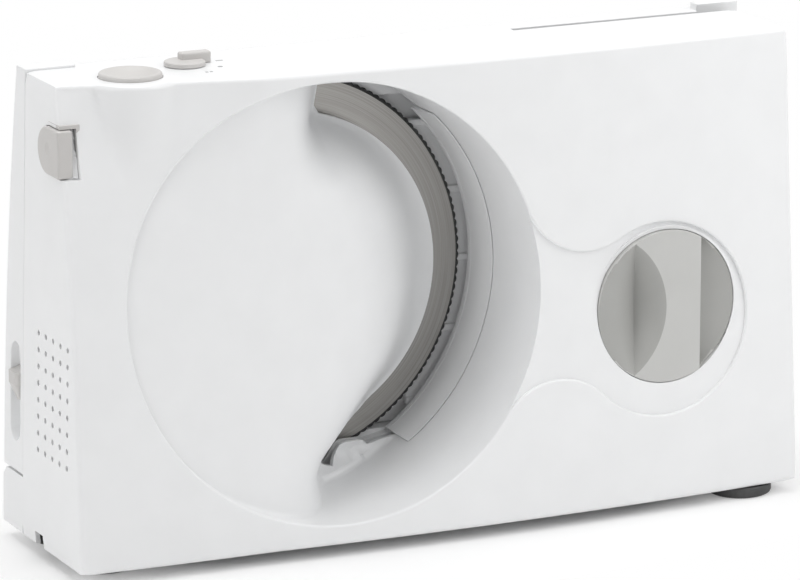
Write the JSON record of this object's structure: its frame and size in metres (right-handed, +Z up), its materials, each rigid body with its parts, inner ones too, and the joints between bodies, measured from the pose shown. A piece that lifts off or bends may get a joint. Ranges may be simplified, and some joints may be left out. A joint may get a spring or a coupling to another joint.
{
  "type": "folding electric food slicer",
  "caption": "Slim upright electric slicer with a round slice outlet, toothed disc blade, thickness knob, sliding gauge plate and a table folded up behind the blade.",
  "frame": {"origin": "middle of the footprint, at the underside of the feet", "axes": "+X to the right along the housing as seen from the slice outlet, +Y from the outlet to the folded table, +Z up"},
  "size_m": [0.3336, 0.093, 0.2065],
  "materials": {
    "white_plastic": "smooth moulded white plastic with a soft gloss",
    "grey_plastic": "satin warm light grey",
    "knob_plastic": "satin mid grey",
    "gear_plastic": "natural acetal",
    "dark_plastic": "black moulded plastic",
    "rubber": "dark grey rubber",
    "blade_steel": "ground stainless steel with a toothed edge",
    "steel": "plain turned steel",
    "iron_core": "stacked sheet iron",
    "copper": "lacquered copper",
    "carbon": "pressed carbon",
    "bronze": "sintered bronze"
  },
  "bodies": {
    "housing": {"front_housing": "white_plastic", "rear_wall": "white_plastic", "base_cover": "white_plastic", "cord_tray": "white_plastic", "foot_front_left": "rubber", "foot_front_right": "rubber", "foot_rear_left": "rubber", "foot_rear_right": "rubber", "cord_gland": "rubber", "axle_bush": "bronze", "on_switch": "dark_plastic", "selector_switch": "dark_plastic", "on_button_spring": "steel", "release_spring": "steel", "stator": "iron_core", "field_coil_upper": "copper", "field_coil_lower": "copper", "brush_upper": "carbon", "brush_lower": "carbon", "brush_holder_upper": "dark_plastic", "brush_holder_lower": "dark_plastic", "bearing_bracket_left": "dark_plastic", "bearing_bracket_middle": "dark_plastic", "bearing_bracket_right": "dark_plastic", "shaft_bearing_left": "bronze", "shaft_bearing_middle": "bronze", "shaft_bearing_right": "bronze", "hinge_pin_left": "steel", "hinge_pin_right": "steel", "housing_screw_1": "steel", "housing_screw_2": "steel", "housing_screw_3": "steel", "housing_screw_4": "steel", "base_screw_1": "steel", "base_screw_2": "steel", "base_screw_3": "steel", "base_screw_4": "steel"},
    "blade": {"blade": "blade_steel", "blade_hub": "gear_plastic", "blade_screw": "grey_plastic", "blade_axle": "steel", "worm_wheel": "gear_plastic"},
    "motor": {"worm_shaft": "steel", "armature": "iron_core", "commutator": "copper", "cooling_fan": "dark_plastic"},
    "knob": {"thickness_knob": "knob_plastic", "adjuster_spindle": "steel", "knob_clip": "steel"},
    "gauge": {"gauge_plate": "white_plastic", "gauge_nut": "bronze", "guide_pin_upper": "steel", "guide_pin_lower": "steel"},
    "table": {"folding_table": "white_plastic"},
    "carriage": {"carriage": "white_plastic"},
    "latch": {"slide_latch": "grey_plastic"},
    "on_button": {"on_button": "grey_plastic"},
    "selector": {"selector_knob": "grey_plastic"},
    "release": {"release_button": "grey_plastic"}
  },
  "joints": [
    {"name": "blade_spin", "type": "hinge", "parent": "housing", "child": "blade", "pos_m": [-0.05019, 0.02771, 0.1045], "axis": [0, 1, 0], "continuous": true},
    {"name": "motor_spin", "type": "hinge", "parent": "housing", "child": "motor", "pos_m": [-0.05019, 0.00121, 0.0705], "axis": [1, 0, 0], "continuous": true},
    {"name": "knob_turn", "type": "hinge", "parent": "housing", "child": "knob", "pos_m": [0.09981, -0.03229, 0.0881], "axis": [0, 1, 0], "range_deg": [0, 300]},
    {"name": "gauge_slide", "type": "slide", "parent": "housing", "child": "gauge", "axis": [0, -1, 0], "range_m": [0, 0.015]},
    {"name": "table_fold", "type": "hinge", "parent": "housing", "child": "table", "pos_m": [-0.05019, 0.04021, 0.0225], "axis": [-1, 0, 0], "range_deg": [0, 90]},
    {"name": "carriage_slide", "type": "slide", "parent": "table", "child": "carriage", "axis": [1, 0, 0], "range_m": [-0.15, 0.018]},
    {"name": "latch_slide", "type": "slide", "parent": "table", "child": "latch", "axis": [0, 0, 1], "range_m": [-0.011, 0.005]},
    {"name": "on_press", "type": "slide", "parent": "housing", "child": "on_button", "axis": [0, 0, -1], "range_m": [0, 0.003], "stiffness_N_per_m": 300, "springref_m": -0.002, "deforming": ["on_button_spring"]},
    {"name": "release_press", "type": "slide", "parent": "housing", "child": "release", "axis": [1, 0, 0], "range_m": [0, 0.0022], "stiffness_N_per_m": 300, "springref_m": -0.002, "deforming": ["release_spring"]},
    {"name": "selector_turn", "type": "hinge", "parent": "housing", "child": "selector", "pos_m": [-0.09879, 0.00871, 0.2005], "axis": [0, 0, 1], "range_deg": [-86, 0]}
  ],
  "couplings": [
    {"joint": "motor_spin", "follows": "blade_spin", "ratio": -44},
    {"joint": "knob_turn", "follows": "gauge_slide", "rad_per_m": 349.07}
  ]
}
